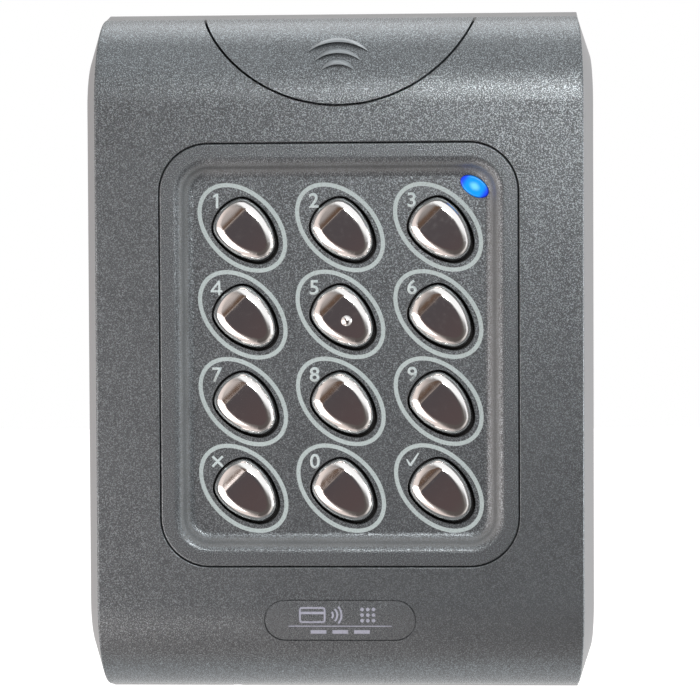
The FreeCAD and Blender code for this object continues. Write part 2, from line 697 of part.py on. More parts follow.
def cover_insert():
    """Brass nut pressed into the base for the cover screw."""
    nut = rod(2.3, SPLIT + 0.3, SPLIT + 6.3, 0, SCREW_Z)
    return nut.cut(rod(1.5, SPLIT - 1, SPLIT + 8, 0, SCREW_Z))


def cable_grommet():
    """Rubber ring in the cable entry, flush with the wall side."""
    body = rod(GROMMET_R, FLOOR_IN - 0.4, DEPTH - 0.1, 0, CABLE_Z)
    collar = rod(GROMMET_R + 1.6, FLOOR_IN - 1.6, FLOOR_IN, 0, CABLE_Z)
    return fuse([body, collar]).cut(rod(CABLE_R, 0, DEPTH + 1, 0, CABLE_Z))


# ------------------------------------------------------------ all the nodes

def build():
    nodes = {
        "front_cover": front_cover(),
        "screw_cap": screw_cap(),
        "name_badge": name_badge(),
        "keypad_bezel": keypad_bezel(),
        "status_lens": status_lens(),
        "keypad_mat": keypad_mat(),
        "circuit_board": circuit_board(),
        "antenna_coil": antenna_coil(),
        "status_led": status_led(),
        "buzzer": buzzer(),
        "terminal_block": terminal_block(),
        "terminal_screws": Part.makeCompound(terminal_screws()),
        "board_screws": Part.makeCompound(board_screws()),
        "controller_chip": chip(8.0, 10.2, 1.4, 6, -31),
        "radio_chip": chip(5.0, 7.6, 1.2, -16, 0),
        "smoothing_capacitor": capacitor(),
        "tamper_sensor": tamper_sensor(),
        "rear_base": rear_base(),
        "cover_seal": cover_seal(),
        "cover_screw": cover_screw(),
        "cover_insert": cover_insert(),
        "cable_grommet": cable_grommet(),
    }
    cap, boss, web = key_cap(), key_boss(), mat_web()
    nodes["mat_webs"] = Part.makeCompound([place_key(web, x, z) for _, x, z in key_places()])
    for name, x, z in key_places():
        own = fuse([cap, finger_pip()]) if name == "5" else cap
        nodes["key_" + name] = place_key(own, x, z)
        nodes["boss_" + name] = place_key(boss, x, z)
    return nodes


os.makedirs("parts", exist_ok=True)
for node, shape in build().items():
    shape.exportStep("parts/" + node + ".step")
    print(node, "valid" if shape.isValid() else "NOT VALID", len(shape.Solids), round(shape.Volume, 1))
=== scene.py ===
from math import atan2, cos, radians, sin

import bpy
from mathutils import Matrix, Vector


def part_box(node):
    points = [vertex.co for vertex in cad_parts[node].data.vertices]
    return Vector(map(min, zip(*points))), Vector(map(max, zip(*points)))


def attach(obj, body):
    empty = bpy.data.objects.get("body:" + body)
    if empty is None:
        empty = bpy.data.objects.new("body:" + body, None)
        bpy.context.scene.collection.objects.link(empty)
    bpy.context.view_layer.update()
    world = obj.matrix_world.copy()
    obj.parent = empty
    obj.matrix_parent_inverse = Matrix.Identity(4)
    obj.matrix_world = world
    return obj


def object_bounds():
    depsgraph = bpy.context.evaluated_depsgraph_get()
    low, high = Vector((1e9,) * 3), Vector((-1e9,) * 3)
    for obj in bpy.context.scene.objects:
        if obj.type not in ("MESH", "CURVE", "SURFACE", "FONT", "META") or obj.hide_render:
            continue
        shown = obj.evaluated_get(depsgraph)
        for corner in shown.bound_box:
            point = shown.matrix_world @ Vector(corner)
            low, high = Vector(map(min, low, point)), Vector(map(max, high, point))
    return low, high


bl_info = {
    "name": "Keypad Access Reader",
    "version": (1, 0, 0),
    "blender": (4, 5, 0),
    "location": "View3D > Sidebar > Access Reader",
    "description": "Finishes, prints and studio for a wall-mounted keypad access reader",
    "category": "Object",
}

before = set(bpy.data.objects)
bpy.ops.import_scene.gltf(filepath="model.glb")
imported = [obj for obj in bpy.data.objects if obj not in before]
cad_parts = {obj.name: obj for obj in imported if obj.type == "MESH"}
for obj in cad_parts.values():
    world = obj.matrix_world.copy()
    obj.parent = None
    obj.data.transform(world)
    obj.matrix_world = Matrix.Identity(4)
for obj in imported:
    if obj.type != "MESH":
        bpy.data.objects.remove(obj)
CAD_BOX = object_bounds()

MM = 0.001
KEY_ROWS = (("1", "2", "3"), ("4", "5", "6"), ("7", "8", "9"), ("cancel", "0", "enter"))
KEYS = [name for row in KEY_ROWS for name in row]

# Planes and curves of the housing, worked out from the frame. Depths run along +Y.
FRONT_Y = CAD_BOX[0].y
BEZEL_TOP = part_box("keypad_bezel")[1].z
BADGE_LOW, BADGE_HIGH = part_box("name_badge")
LENS_LOW, LENS_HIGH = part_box("status_lens")
DISH_Y = FRONT_Y + 2.5 * MM        # floor of the keypad dish
FACE_HALF = 40.25 * MM             # half width of the front face, between the side bevels
ROLL_START = 41.5 * MM             # the front starts to roll back at this height
ROLL_R = 16.0 * MM                 # radius of that roll

# The lit lens is a leaning oval.
LENS_HALF_LENGTH = 2.53 * MM
LENS_HALF_WIDTH = 1.48 * MM
LENS_TILT = radians(33)

# Prints. Their back sinks a little into the plastic, so that no gap shows.
PRINT_SINK = 0.001 * MM
BADGE_LIFT = 0.004 * MM            # middle of the badge's ink, above the curved plate
BADGE_SLICES = 16                  # cuts that let the flat print follow the curve
RING_SHIFT = Vector((-0.33, 0, 0.33)) * MM       # middle of a ring, from the middle of its key
FIGURE_SHIFT = Vector((-4.35, 0, 4.5)) * MM      # middle of a figure, from the middle of its ring
FIGURE_WEIGHT = 0.018              # how much the letter shapes are thickened
FIGURE_WIDEN = 1.04                # and widened
LAYER_STEP = 0.1                   # each crossing stroke is this much thicker than the one before

# Figures and signs drawn from strokes: start, end, width and width at the end, in millimetres.
CROSS_REACH = 0.86
CROSS_WIDTH = 0.4
SIGNS = {
    "1": (((0.16, -1.23), (0.16, 1.23), 0.42, 0.42),
          ((-0.46, 0.70), (0.18, 1.10), 0.34, 0.34)),
    "4": (((0.44, -1.23), (0.44, 1.23), 0.36, 0.36),
          ((-1.0, -0.55), (0.98, -0.55), 0.34, 0.34),
          ((-0.87, -0.52), (0.42, 1.08), 0.34, 0.34)),
    "cancel": (((-CROSS_REACH, CROSS_REACH), (CROSS_REACH, -CROSS_REACH), CROSS_WIDTH, CROSS_WIDTH),
               ((-CROSS_REACH, -CROSS_REACH), (CROSS_REACH, CROSS_REACH), CROSS_WIDTH, CROSS_WIDTH)),
    "enter": (((-0.98, 0.32), (-0.40, -0.75), 0.2, 0.38),
              ((-0.40, -0.75), (0.98, 1.32), 0.42, 0.26)),
}

# Badge print: an upper row with a card, its waves and a small keypad, and rules below it.
ROW_Z = 0.95 * MM
CARD_X, WAVES_X, DOTS_X = -4.6 * MM, -1.9 * MM, 4.6 * MM
CARD_SIZE = (4.4 * MM, 1, 2.7 * MM)
CARD_CORNER, CARD_LINE = 0.5 * MM, 0.3 * MM
STRIPE_HALF, STRIPE_Z, STRIPE_WIDTH = 1.9 * MM, 0.35 * MM, 0.42 * MM
WAVE_RADII = (0.9 * MM, 1.6 * MM, 2.3 * MM)
WAVE_WIDTH, WAVE_HALF_ANGLE = 0.32 * MM, radians(42)
DOT_GAP, DOT_R = 0.95 * MM, 0.31 * MM
RULE_HALF, RULE_Z, RULE_WIDTH = 8.6 * MM, -0.95 * MM, 0.16 * MM
DASH_STARTS = (-4.9, -1.3, 2.3)    # left ends of the dashes, in millimetres
DASH_LENGTH = 2.6                  # in millimetres
DASH_Z, DASH_WIDTH = -1.95 * MM, 0.62 * MM

# Studio: place, side and tint of each soft light, in metres. All of them face the reader.
LIGHTS = {
    "key": ((0.19, -0.81, 0.322), 0.23, (1.0, 0.99, 0.97)),
    "fill": ((-0.31, -0.28, -0.15), 0.50, (1.0, 0.91, 0.88)),
    "side": ((0.42, 0.04, 0.0), 0.30, (1.0, 1.0, 1.0)),
    "top": ((0.05, 0.25, 0.65), 0.5, (1.0, 1.0, 1.0)),
}
CAMERA_PLACE = Vector((12.69, -341.6, 7.33)) * MM
CAMERA_AIM = Vector((1.86, -24.0, 0.66)) * MM
CAMERA_ROLL = -0.0045
SENSOR_WIDTH = 36.0                # millimetres

# Tones of the room that the keys mirror.
WHITE = (1, 1, 1, 1)
NEAR_WALL = (0.25, 0.23, 0.22, 1)
LEFT_WALL = (0.92, 0.80, 0.75, 1)
RIGHT_WALL = (0.80, 0.76, 0.72, 1)
STREAK_TONE = (0.12, 0.07, 0.045, 1)
SHADE_TONE = (0.34, 0.29, 0.25, 1)
LOW_RIGHT_TONE = (0.07, 0.055, 0.05, 1)
CORE_HIGH = (0.078, 0.066, 0.070, 1)
CORE_LOW = (0.100, 0.072, 0.072, 1)
CREASE_TONE = (0.36, 0.30, 0.265, 1)


def key_centre(name):
    """Middle of the printed ring of a key, from the box of the key itself."""
    low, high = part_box("key_" + name)
    middle = (low + high) / 2
    return Vector((middle.x, 0, middle.z)) + RING_SHIFT


# ------------------------------------------------------------ shader tools

class Value:
    """A shader socket that adds Math nodes when it is used in a sum."""

    def __init__(self, paint, socket):
        self.paint, self.socket = paint, socket

    def maths(self, operation, a, b):
        return self.paint.node("Math", {"operation": operation}, {0: a, 1: b})

    def __add__(self, other):
        return self.maths("ADD", self, other)

    def __radd__(self, other):
        return self.maths("ADD", other, self)

    def __sub__(self, other):
        return self.maths("SUBTRACT", self, other)

    def __rsub__(self, other):
        return self.maths("SUBTRACT", other, self)

    def __mul__(self, other):
        return self.maths("MULTIPLY", self, other)

    def __rmul__(self, other):
        return self.maths("MULTIPLY", other, self)

    def __truediv__(self, other):
        return self.maths("DIVIDE", self, other)

    def __pow__(self, other):
        return self.maths("POWER", self, other)

    def __gt__(self, other):
        return self.maths("GREATER_THAN", self, other)

    def __abs__(self):
        return self.maths("ABSOLUTE", self, 0.0)


class Paint:
    """One node tree: a material with its Principled shader, or the world."""

    def __init__(self, name, world=False, **constants):
        owner = bpy.data.worlds.new(name) if world else bpy.data.materials.new(name)
        owner.use_nodes = True
        self.owner, self.tree = owner, owner.node_tree
        if world:
            self.shader = self.tree.nodes["Background"]
        else:
            self.shader = self.tree.nodes["Principled BSDF"]
        for socket, value in constants.items():
            self.shader.inputs[socket.replace("_", " ")].default_value = value

    def node(self, kind, settings=None, inputs=None, out=0):
        """Adds any node: its settings first, then the values or links of its sockets."""
        made = self.tree.nodes.new("ShaderNode" + kind)
        for key, value in (settings or {}).items():
            if key == "stops":
                self.set_stops(made.color_ramp, value)
            else:
                setattr(made, key, value)
        for key, value in (inputs or {}).items():
            self.plug(value, made.inputs[key])
        return Value(self, made.outputs[out])

    def set_stops(self, ramp, stops):
        while len(ramp.elements) < len(stops):
            ramp.elements.new(0.5)
        for element, (place, colour) in zip(ramp.elements, stops):
            element.position = place
            element.color = colour

    def plug(self, value, socket):
        if isinstance(value, Value):
            self.tree.links.new(value.socket, socket)
        else:
            socket.default_value = value

    def feed(self, name, value):
        self.plug(value, self.shader.inputs[name])

    def place(self):
        return self.node("TexCoord", out=3)

    def xyz(self, vector):
        split = self.node("SeparateXYZ", inputs={0: vector}).socket.node
        return [Value(self, output) for output in split.outputs]

    def noise(self, size, detail=2.0, vector=None, roughness=0.5):
        """Noise whose lumps are about this many metres across."""
        return self.node("TexNoise", inputs={"Vector": vector or self.place(), "Scale": 1.0 / size,
                                             "Detail": detail, "Roughness": roughness})

    def smooth(self, value, low, high, start=0.0, end=1.0):
        settings = {"interpolation_type": "SMOOTHSTEP", "clamp": True}
        return self.node("MapRange", settings, {0: value, 1: low, 2: high, 3: start, 4: end})

    def mix(self, factor, a, b):
        return self.node("Mix", {"data_type": "RGBA"}, {0: factor, 6: a, 7: b}, out=2)

    def bump(self, height, distance, strength=1.0, below=None):
        inputs = {"Strength": strength, "Distance": distance, "Height": height}
        if below is not None:
            inputs["Normal"] = below
        return self.node("Bump", inputs=inputs)


def grey(level, warm=0.0):
    return (level * (1 + warm), level, level * (1 - warm), 1.0)


def darker(tint, share):
    return tuple(c * share for c in tint[:3]) + (1.0,)


def give(material, *nodes):
    """Puts a material on CAD nodes, in every slot they have."""
    for name in nodes:
        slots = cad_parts[name].material_slots
        if not slots:
            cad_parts[name].data.materials.append(material)
        for slot in slots:
            slot.material = material


# ------------------------------------------------------------ modelling tools

def clear_selection():
    if bpy.context.object and bpy.context.object.mode != "OBJECT":
        bpy.ops.object.mode_set(mode="OBJECT")
    bpy.ops.object.select_all(action="DESELECT")


def only(obj):
    clear_selection()
    obj.select_set(True)
    bpy.context.view_layer.objects.active = obj


def settle(obj, name, material, body):
    """Names a finished piece, puts its place into its mesh and fixes it to its body."""
    only(obj)
    bpy.ops.object.transform_apply(location=True, rotation=True, scale=True)
    obj.name = name
    obj.data.name = name
    obj.data.materials.clear()
    obj.data.materials.append(material)
    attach(obj, body)
    return obj


def edit(obj):
    only(obj)
    bpy.ops.object.mode_set(mode="EDIT")
    bpy.ops.mesh.select_all(action="SELECT")


def thicken(obj, depth):
    """Gives a flat print in the XZ plane its ink thickness, standing out towards -Y."""
    edit(obj)
    bpy.ops.mesh.extrude_region_move(TRANSFORM_OT_translate={"value": (0, -depth, 0)})
    bpy.ops.mesh.select_all(action="SELECT")
    bpy.ops.mesh.normals_make_consistent(inside=False)
    bpy.ops.object.mode_set(mode="OBJECT")


def join(objects):
    only(objects[0])
    for obj in objects:
        obj.select_set(True)
    bpy.ops.object.join()
    return bpy.context.object


def oval_line(length, width, stroke, tilt=0.0, sides=96):
    """Flat oval line in the XZ plane round the origin; its long axis falls to the right by tilt."""
    clear_selection()
    bpy.ops.mesh.primitive_circle_add(vertices=sides, radius=0.5, rotation=(radians(90), 0, 0))
    line = bpy.context.object
    bpy.ops.object.transform_apply(location=False, rotation=True, scale=False)
    edit(line)
    bpy.ops.transform.resize(value=(length, 1, width))
    bpy.ops.mesh.extrude_edges_move()
    bpy.ops.transform.resize(value=(1 - 2 * stroke / length, 1, 1 - 2 * stroke / width))
    bpy.ops.mesh.select_all(action="SELECT")
    bpy.ops.transform.rotate(value=-tilt, orient_axis="Y", center_override=(0, 0, 0))
    bpy.ops.object.mode_set(mode="OBJECT")
    return line


def bow(radius, stroke, half_angle):
    """Part of a round line, on the right of the origin."""
    line = oval_line(2 * radius, 2 * radius, stroke)
    for side in (-1, 1):
        edit(line)
        bpy.ops.mesh.bisect(plane_co=(0, 0, 0), plane_no=(-sin(half_angle), 0, side * cos(half_angle)),
                            clear_outer=True)
        bpy.ops.object.mode_set(mode="OBJECT")
    return line


def stroke(start, end, width, end_width=None):
    """Flat straight stroke between two points (x, z) of the XZ plane, tapered if asked."""
    clear_selection()
    bpy.ops.mesh.primitive_plane_add(size=1, rotation=(radians(90), 0, 0))
    made = bpy.context.object
    bpy.ops.object.transform_apply(location=False, rotation=True, scale=False)
    way = Vector((end[0] - start[0], 0, end[1] - start[1]))
    edit(made)
    bpy.ops.transform.resize(value=(way.length, 1, width))
    bpy.ops.mesh.select_all(action="DESELECT")
    bpy.ops.object.mode_set(mode="OBJECT")
    for vertex in made.data.vertices:
        vertex.select = vertex.co.x > 0
    bpy.ops.object.mode_set(mode="EDIT")
    bpy.ops.transform.resize(value=(1, 1, (end_width or width) / width))
    bpy.ops.mesh.select_all(action="SELECT")
    bpy.ops.transform.rotate(value=atan2(way.z, way.x), orient_axis="Y", center_override=(0, 0, 0))
    bpy.ops.transform.translate(value=Vector((start[0], 0, start[1])) + way / 2)
    bpy.ops.object.mode_set(mode="OBJECT")
    return made


def shift(obj, x, z):
    edit(obj)
    bpy.ops.transform.translate(value=(x, 0, z))
    bpy.ops.object.mode_set(mode="OBJECT")
    return obj


# ------------------------------------------------------------------ settings

def colour(name, default, description):
    return bpy.props.FloatVectorProperty(name=name, description=description, default=default, size=4,
                                         subtype="COLOR", min=0, max=1)


def length(name, default, description):
    return bpy.props.FloatProperty(name=name, description=description, default=default,
                                   subtype="DISTANCE", unit="LENGTH", precision=6)


def number(name, default, description, subtype="NONE"):
    return bpy.props.FloatProperty(name=name, description=description, default=default, subtype=subtype)


class ReaderPlastic(bpy.types.PropertyGroup):
    cover: colour("Cover", (0.060, 0.067, 0.074, 1), "Dark grain of the cover and the insert")
    fleck: colour("Fleck", (0.33, 0.37, 0.394, 1), "Bright flecks in the grain")
    # Painted light: the paler tone painted on the lit sides of the keypad's dish, all but the top one.
    slope: colour("Slope", (0.20, 0.21, 0.215, 1), "Sides of the keypad's dish")
    # Painted sheen: the smooth side bevels are painted this paler tone for the light they catch at a
    # grazing angle.
    bevel: colour("Bevel", (0.215, 0.215, 0.222, 1), "Smooth pale side bevels")
    base: colour("Base", (0.22, 0.22, 0.225, 1), "Rear base")
    grain: length("Grain", 0.18 * MM, "Size of one grain of the moulded texture")
    relief: length("Relief", 0.042 * MM, "Depth of the moulded texture")
    roughness: number("Roughness", 0.26, "Roughness of the grained plastic", "FACTOR")
    metallic: number("Metallic", 0.9, "How metallic the flecks are", "FACTOR")


class ReaderPrint(bpy.types.PropertyGroup):
    ink: colour("Ink", (0.43, 0.51, 0.52, 1), "Pale ink of the rings")
    figure_ink: colour("Figure ink", (0.54, 0.63, 0.65, 1), "Pale ink of the figures")
    badge_ink: colour("Badge ink", (0.36, 0.38, 0.47, 1), "Lilac-grey ink of the badge")
    ring_length: length("Ring length", 17.4 * MM, "Long outer axis of a key's ring")
    ring_width: length("Ring width", 11.95 * MM, "Short outer axis of a key's ring")
    ring_stroke: length("Ring stroke", 0.70 * MM, "Width of the ring's line")
    ring_tilt: bpy.props.FloatProperty(name="Ring tilt", description="Fall of the long axis to the right",
                                       default=radians(45), subtype="ANGLE", unit="ROTATION")
    figure_height: length("Figure height", 2.47 * MM, "Height of a figure")
    ink_depth: length("Ink depth", 0.02 * MM, "Thickness of the ink")


class ReaderBright(bpy.types.PropertyGroup):
    chrome: colour("Chrome", (0.86, 0.855, 0.85, 1), "Plating of the keys")
    chrome_roughness: number("Chrome roughness", 0.105, "Polish of the keys", "FACTOR")
    lens_core: colour("Lens core", (0.16, 0.66, 1.0, 1), "Middle of the lit lens")
    lens_ring: colour("Lens ring", (0.0, 0.32, 1.0, 1), "Body of the lit lens")
    lens_edge: colour("Lens edge", (0.01, 0.06, 0.95, 1), "Outer edge of the lit lens")
    glow: number("Glow", 0.16, "Strength of the lens's light")


class ReaderStage(bpy.types.PropertyGroup):
    floor_drop: length("Floor drop", 0.20, "Floor below the middle of the reader")
    floor_size: length("Floor size", 3.0, "Half width of the floor")
    lens: number("Lens", 99.05, "Focal length of the camera, in millimetres")
    key_power: number("Key light", 2.55, "Power of the soft light at the upper right, in watts")
    fill_power: number("Fill light", 1.25, "Power of the soft light at the left, in watts")
    side_power: number("Side light", 1.0, "Power of the soft light at the right, in watts")
    top_power: number("Top light", 1.3, "Power of the soft light overhead, in watts")


# ----------------------------------------------------------------- materials

def bevel_and_waves(paint, where):
    """Masks of the smooth side bevels and of the waves that stand proud of the rolled top; the bevels
    carry a painted sheen and the waves a painted highlight.
    """
    x, y, z = paint.xyz(where)
    side = paint.smooth(abs(x), FACE_HALF + 0.05 * MM, FACE_HALF + 0.3 * MM)
    radius = ((z - ROLL_START) ** 2.0 + (y - (FRONT_Y + ROLL_R)) ** 2.0) ** 0.5
    proud = paint.smooth(radius, ROLL_R + 0.03 * MM, ROLL_R + 0.12 * MM) * (z > ROLL_START)
    return side, proud


def dish_sides(paint, where):
    """Masks of the dish's sloping sides: all of them, and all but the top one; the second marks the lit
    sides that are painted lighter as painted light, while the downward-facing top is left dark.
    """
    x, y, z = paint.xyz(where)
    slope = paint.smooth(y, FRONT_Y + 0.15 * MM, FRONT_Y + 0.6 * MM)
    slope = slope * paint.smooth(y, DISH_Y - 0.05 * MM, DISH_Y - 0.5 * MM)
    return slope, slope * paint.smooth(z, BEZEL_TOP - 3 * MM, BEZEL_TOP - 8 * MM)


def grained(name, settings, bevelled=False, dished=False, scale=1.0):
    """Dark plastic with a metallic grain; smooth on bevels and waves, matt on the dish's sides; the
    bevels, the waves and the lit dish sides are painted lighter, as painted sheen, painted highlight and
    painted light.
    """
    paint = Paint(name, Roughness=settings.roughness, IOR=1.48)
    where = paint.place()
    fine = paint.noise(settings.grain * scale, 2.0, where, 0.6)
    coarse = paint.noise(settings.grain * scale * 2.7, 2.0, where)
    cloud = paint.noise(9 * MM, 2.0, where)
    flecks = paint.smooth(fine * 0.92 + coarse * 0.08, 0.44, 0.62)
    pits = paint.smooth(fine, 0.47, 0.30)
    base = paint.mix(flecks * 0.8, settings.cover, settings.fleck)
    base = paint.mix(pits * 0.5, base, grey(0.03))
    base = paint.mix(paint.smooth(cloud, 0.3, 0.75) * 0.03, base, settings.fleck)
    rough = settings.roughness + (fine - 0.5) * 0.2
    metal_part = flecks * settings.metallic
    height = fine * 0.85 + coarse * 0.15
    if bevelled:
        side, proud = bevel_and_waves(paint, where)
        # Painted highlight: the proud waves are painted lighter with the fleck tone.
        base = paint.mix(proud * 0.6, base, settings.fleck)
        # Painted sheen: the side bevels take the paler bevel tone; their smoothness is real.
        base = paint.mix(side, base, settings.bevel)
        smooth_part = 1 - (1 - side) * (1 - proud)
        rough = rough + smooth_part * (0.32 - rough)
        metal_part = metal_part * (1 - side)
        height = height * (1 - smooth_part * 0.9)
    if dished:
        slope, matt = dish_sides(paint, where)
        # Painted light: all dish sides but the top are painted in the paler slope tone; their matt
        # roughness is real.
        base = paint.mix(matt * 0.55, base, settings.slope)
        rough = rough + matt * (0.5 - rough)
        metal_part = metal_part * (1 - slope * 0.6)
    paint.feed("Base Color", base)
    paint.feed("Metallic", metal_part)
    paint.feed("Roughness", rough)
    paint.feed("Normal", paint.bump(height, settings.relief))
    return paint.owner


def moulded(name, colour_value, roughness, grain=0.5 * MM, relief=0.01 * MM, **constants):
    """Plain moulded or sheet material with a fine texture and slight colour drift."""
    paint = Paint(name, Roughness=roughness, **constants)
    fine = paint.noise(grain, 3.0)
    drift = paint.noise(grain * 18, 2.0)
    patches = paint.smooth(drift * 0.6 + fine * 0.4, 0.35, 0.65)
    paint.feed("Base Color", paint.mix(patches, darker(colour_value, 0.91), colour_value))
    paint.feed("Roughness", roughness + (fine - 0.5) * 0.2)
    paint.feed("Normal", paint.bump(fine, relief))
    return paint.owner


def chrome(name, settings):
    """Polished plating with the faint waviness of a plated moulding; painted near black down in its hole,
    as painted shade.
    """
    paint = Paint(name)
    wave = paint.noise(2.4 * MM, 1.0)
    haze = paint.noise(0.9 * MM, 2.0)
    x, y, z = paint.xyz(paint.place())
    # Painted shade: below this band, down in the hole, the key is painted near black, matt and not
    # metallic, for the shade in the gap round it.
    plated = paint.smooth(y, DISH_Y + 0.45 * MM, DISH_Y + 0.15 * MM)
    bright = paint.mix(paint.smooth(haze, 0.35, 0.7) * 0.12, settings.chrome, grey(0.72, 0.02))
    polish = settings.chrome_roughness + paint.smooth(haze, 0.45, 0.8) * 0.05
    paint.feed("Base Color", paint.mix(plated, grey(0.006), bright))
    paint.feed("Metallic", plated)
    paint.feed("Roughness", 0.75 + plated * (polish - 0.75))
    paint.feed("Normal", paint.bump(wave, 0.02 * MM, 0.4))
    return paint.owner


def metal(name, colour_value, roughness, streak=(1, 1, 1)):
    """Turned or plated metal with fine marks."""
    paint = Paint(name, Metallic=1.0, Roughness=roughness)
    turned = paint.node("Mapping", inputs={"Vector": paint.place(), "Scale": streak})
    marks = paint.noise(0.12 * MM, 2.0, turned)
    bright = paint.smooth(marks, 0.3, 0.7)
    paint.feed("Base Color", paint.mix(bright, darker(colour_value, 0.7), colour_value))
    paint.feed("Roughness", roughness + (marks - 0.5) * 0.25)
    paint.feed("Normal", paint.bump(marks, 0.005 * MM))
    return paint.owner


def lit_lens(name, settings):
    """Blue lens, brightest over the light behind it and deeper blue at its ends."""
    paint = Paint(name, Roughness=0.2, Emission_Strength=settings.glow)
    centre = (LENS_LOW + LENS_HIGH) / 2
    turned = paint.node("Mapping", {"vector_type": "TEXTURE"},
                        {"Vector": paint.place(), "Location": centre, "Rotation": (0, LENS_TILT, 0)})
    x, y, z = paint.xyz(turned)
    along = x / LENS_HALF_LENGTH
    reach = (along ** 2.0 + (z / LENS_HALF_WIDTH) ** 2.0) ** 0.5
    near_core = paint.smooth(reach + abs(along) * 0.25, 0.12, 0.62)
    edge = paint.smooth(abs(along) + reach * 0.12, 0.55, 1.02)
    glow = paint.mix(near_core, settings.lens_core, settings.lens_ring)
    glow = paint.mix(edge, glow, settings.lens_edge)
    paint.feed("Base Color", glow)
    paint.feed("Emission Color", glow)
    return paint.owner


def printed(name, ink):
    """Screen-printed ink: matt, with slightly uneven cover."""
    paint = Paint(name, Roughness=0.55)
    speck = paint.noise(0.22 * MM, 2.0)
    full = paint.smooth(speck, 0.28, 0.55)
    paint.feed("Base Color", paint.mix(full, darker(ink, 0.72), ink))
    paint.feed("Roughness", 0.5 + speck * 0.15)
    paint.feed("Normal", paint.bump(speck, 0.006 * MM))
    return paint.owner


# ----------------------------------------------------------------- operators

class READER_OT_plastic(bpy.types.Operator):
    """Gives the cover, the insert, the caps and the base their grained plastic"""
    bl_idname = "reader.plastic"
    bl_label = "Grained Plastic"

    def execute(self, context):
        settings = context.scene.reader_plastic
        give(grained("grained cover", settings, bevelled=True), "front_cover", "screw_cap")
        give(grained("grained insert", settings, dished=True), "keypad_bezel")
        give(grained("badge plate", settings, scale=0.6), "name_badge")
        give(moulded("base plastic", settings.base, 0.5, 0.35 * MM, 0.03 * MM), "rear_base")
        return {"FINISHED"}


class READER_OT_keys(bpy.types.Operator):
    """Plates the twelve keys"""
    bl_idname = "reader.keys"
    bl_label = "Bright Keys"

    def execute(self, context):
        give(chrome("key chrome", context.scene.reader_bright), *["key_" + key for key in KEYS])
        return {"FINISHED"}


class READER_OT_rubber(bpy.types.Operator):
    """Gives the rubber parts their matt finish"""
    bl_idname = "reader.rubber"
    bl_label = "Rubber Parts"

    def execute(self, context):
        rubber = moulded("silicone rubber", grey(0.035), 0.65, 0.3 * MM, 0.01 * MM)
        seal = moulded("seal rubber", grey(0.012), 0.7, 0.3 * MM, 0.01 * MM)
        give(rubber, "keypad_mat", "mat_webs", "cable_grommet", *["boss_" + key for key in KEYS])
        give(seal, "cover_seal")
        return {"FINISHED"}


class READER_OT_electronics(bpy.types.Operator):
    """Finishes the board and everything on it"""
    bl_idname = "reader.electronics"
    bl_label = "Electronics"

    def execute(self, context):
        give(moulded("board mask", (0.02, 0.17, 0.07, 1), 0.3, 0.8 * MM, 0.01 * MM), "circuit_board")
        give(metal("enamelled copper", (0.75, 0.33, 0.16, 1), 0.3, (1, 6, 6)), "antenna_coil")
        give(moulded("terminal green", (0.04, 0.24, 0.09, 1), 0.45), "terminal_block")
        give(moulded("chip black", grey(0.02), 0.4, 0.2 * MM, 0.01 * MM), "buzzer", "controller_chip",
             "radio_chip", "tamper_sensor")
        give(moulded("light body", (0.8, 0.82, 0.72, 1), 0.35), "status_led")
        give(metal("capacitor can", grey(0.75), 0.28, (1, 8, 1)), "smoothing_capacitor")
        give(metal("zinc plate", grey(0.62, 0.01), 0.3), "terminal_screws", "board_screws", "cover_screw")
        give(metal("turned brass", (0.76, 0.55, 0.24, 1), 0.25, (1, 9, 1)), "cover_insert")
        return {"FINISHED"}


class READER_OT_light(bpy.types.Operator):
    """Lights the status lens"""
    bl_idname = "reader.light"
    bl_label = "Status Light"

    def execute(self, context):
        give(lit_lens("lit lens", context.scene.reader_bright), "status_lens")
        return {"FINISHED"}


class READER_OT_rings(bpy.types.Operator):
    """Prints an oval ring round each key"""
    bl_idname = "reader.rings"
    bl_label = "Key Rings"

    def execute(self, context):
        settings = context.scene.reader_print
        ink = printed("pale ink", settings.ink)
        pattern = oval_line(settings.ring_length, settings.ring_width, settings.ring_stroke,
                            settings.ring_tilt)
        thicken(pattern, settings.ink_depth)
        for key in KEYS:
            ring = pattern.copy()
            ring.data = pattern.data.copy()
            context.collection.objects.link(ring)
            ring.location = key_centre(key) + Vector((0, DISH_Y + PRINT_SINK, 0))
            settle(ring, "ring_" + key, ink, "housing")
        bpy.data.objects.remove(pattern)
        return {"FINISHED"}


def figure(text, settings):
    """A figure as a flat mesh in the XZ plane, centred on the origin."""
    clear_selection()
    bpy.ops.object.text_add(rotation=(radians(90), 0, 0))
    made = bpy.context.object
    made.data.body = text
    made.data.align_x, made.data.align_y = "CENTER", "CENTER"
    made.data.offset = FIGURE_WEIGHT
    only(made)
    bpy.ops.object.convert(target="MESH")
    made = bpy.context.object
    bpy.ops.object.transform_apply(location=True, rotation=True, scale=True)
    low = Vector(map(min, *[v.co for v in made.data.vertices]))
    high = Vector(map(max, *[v.co for v in made.data.vertices]))
    scale = settings.figure_height / (high.z - low.z)
    made.data.transform(Matrix.Translation(-(low + high) / 2))
    made.scale = (scale * FIGURE_WIDEN, scale, scale)
    bpy.ops.object.transform_apply(location=False, rotation=False, scale=True)
    thicken(made, settings.ink_depth)
    return made


def sign(strokes, settings):
    """A figure or sign drawn from strokes; each is a little thicker than the one it crosses."""
    parts = []
    for start, end, width, end_width in strokes:
        ends = [(x * MM, z * MM) for x, z in (start, end)]
        parts.append(stroke(*ends, width * MM, end_width * MM))
    for i, part in enumerate(parts):
        thicken(part, settings.ink_depth * (1 + i * LAYER_STEP))
    return join(parts)


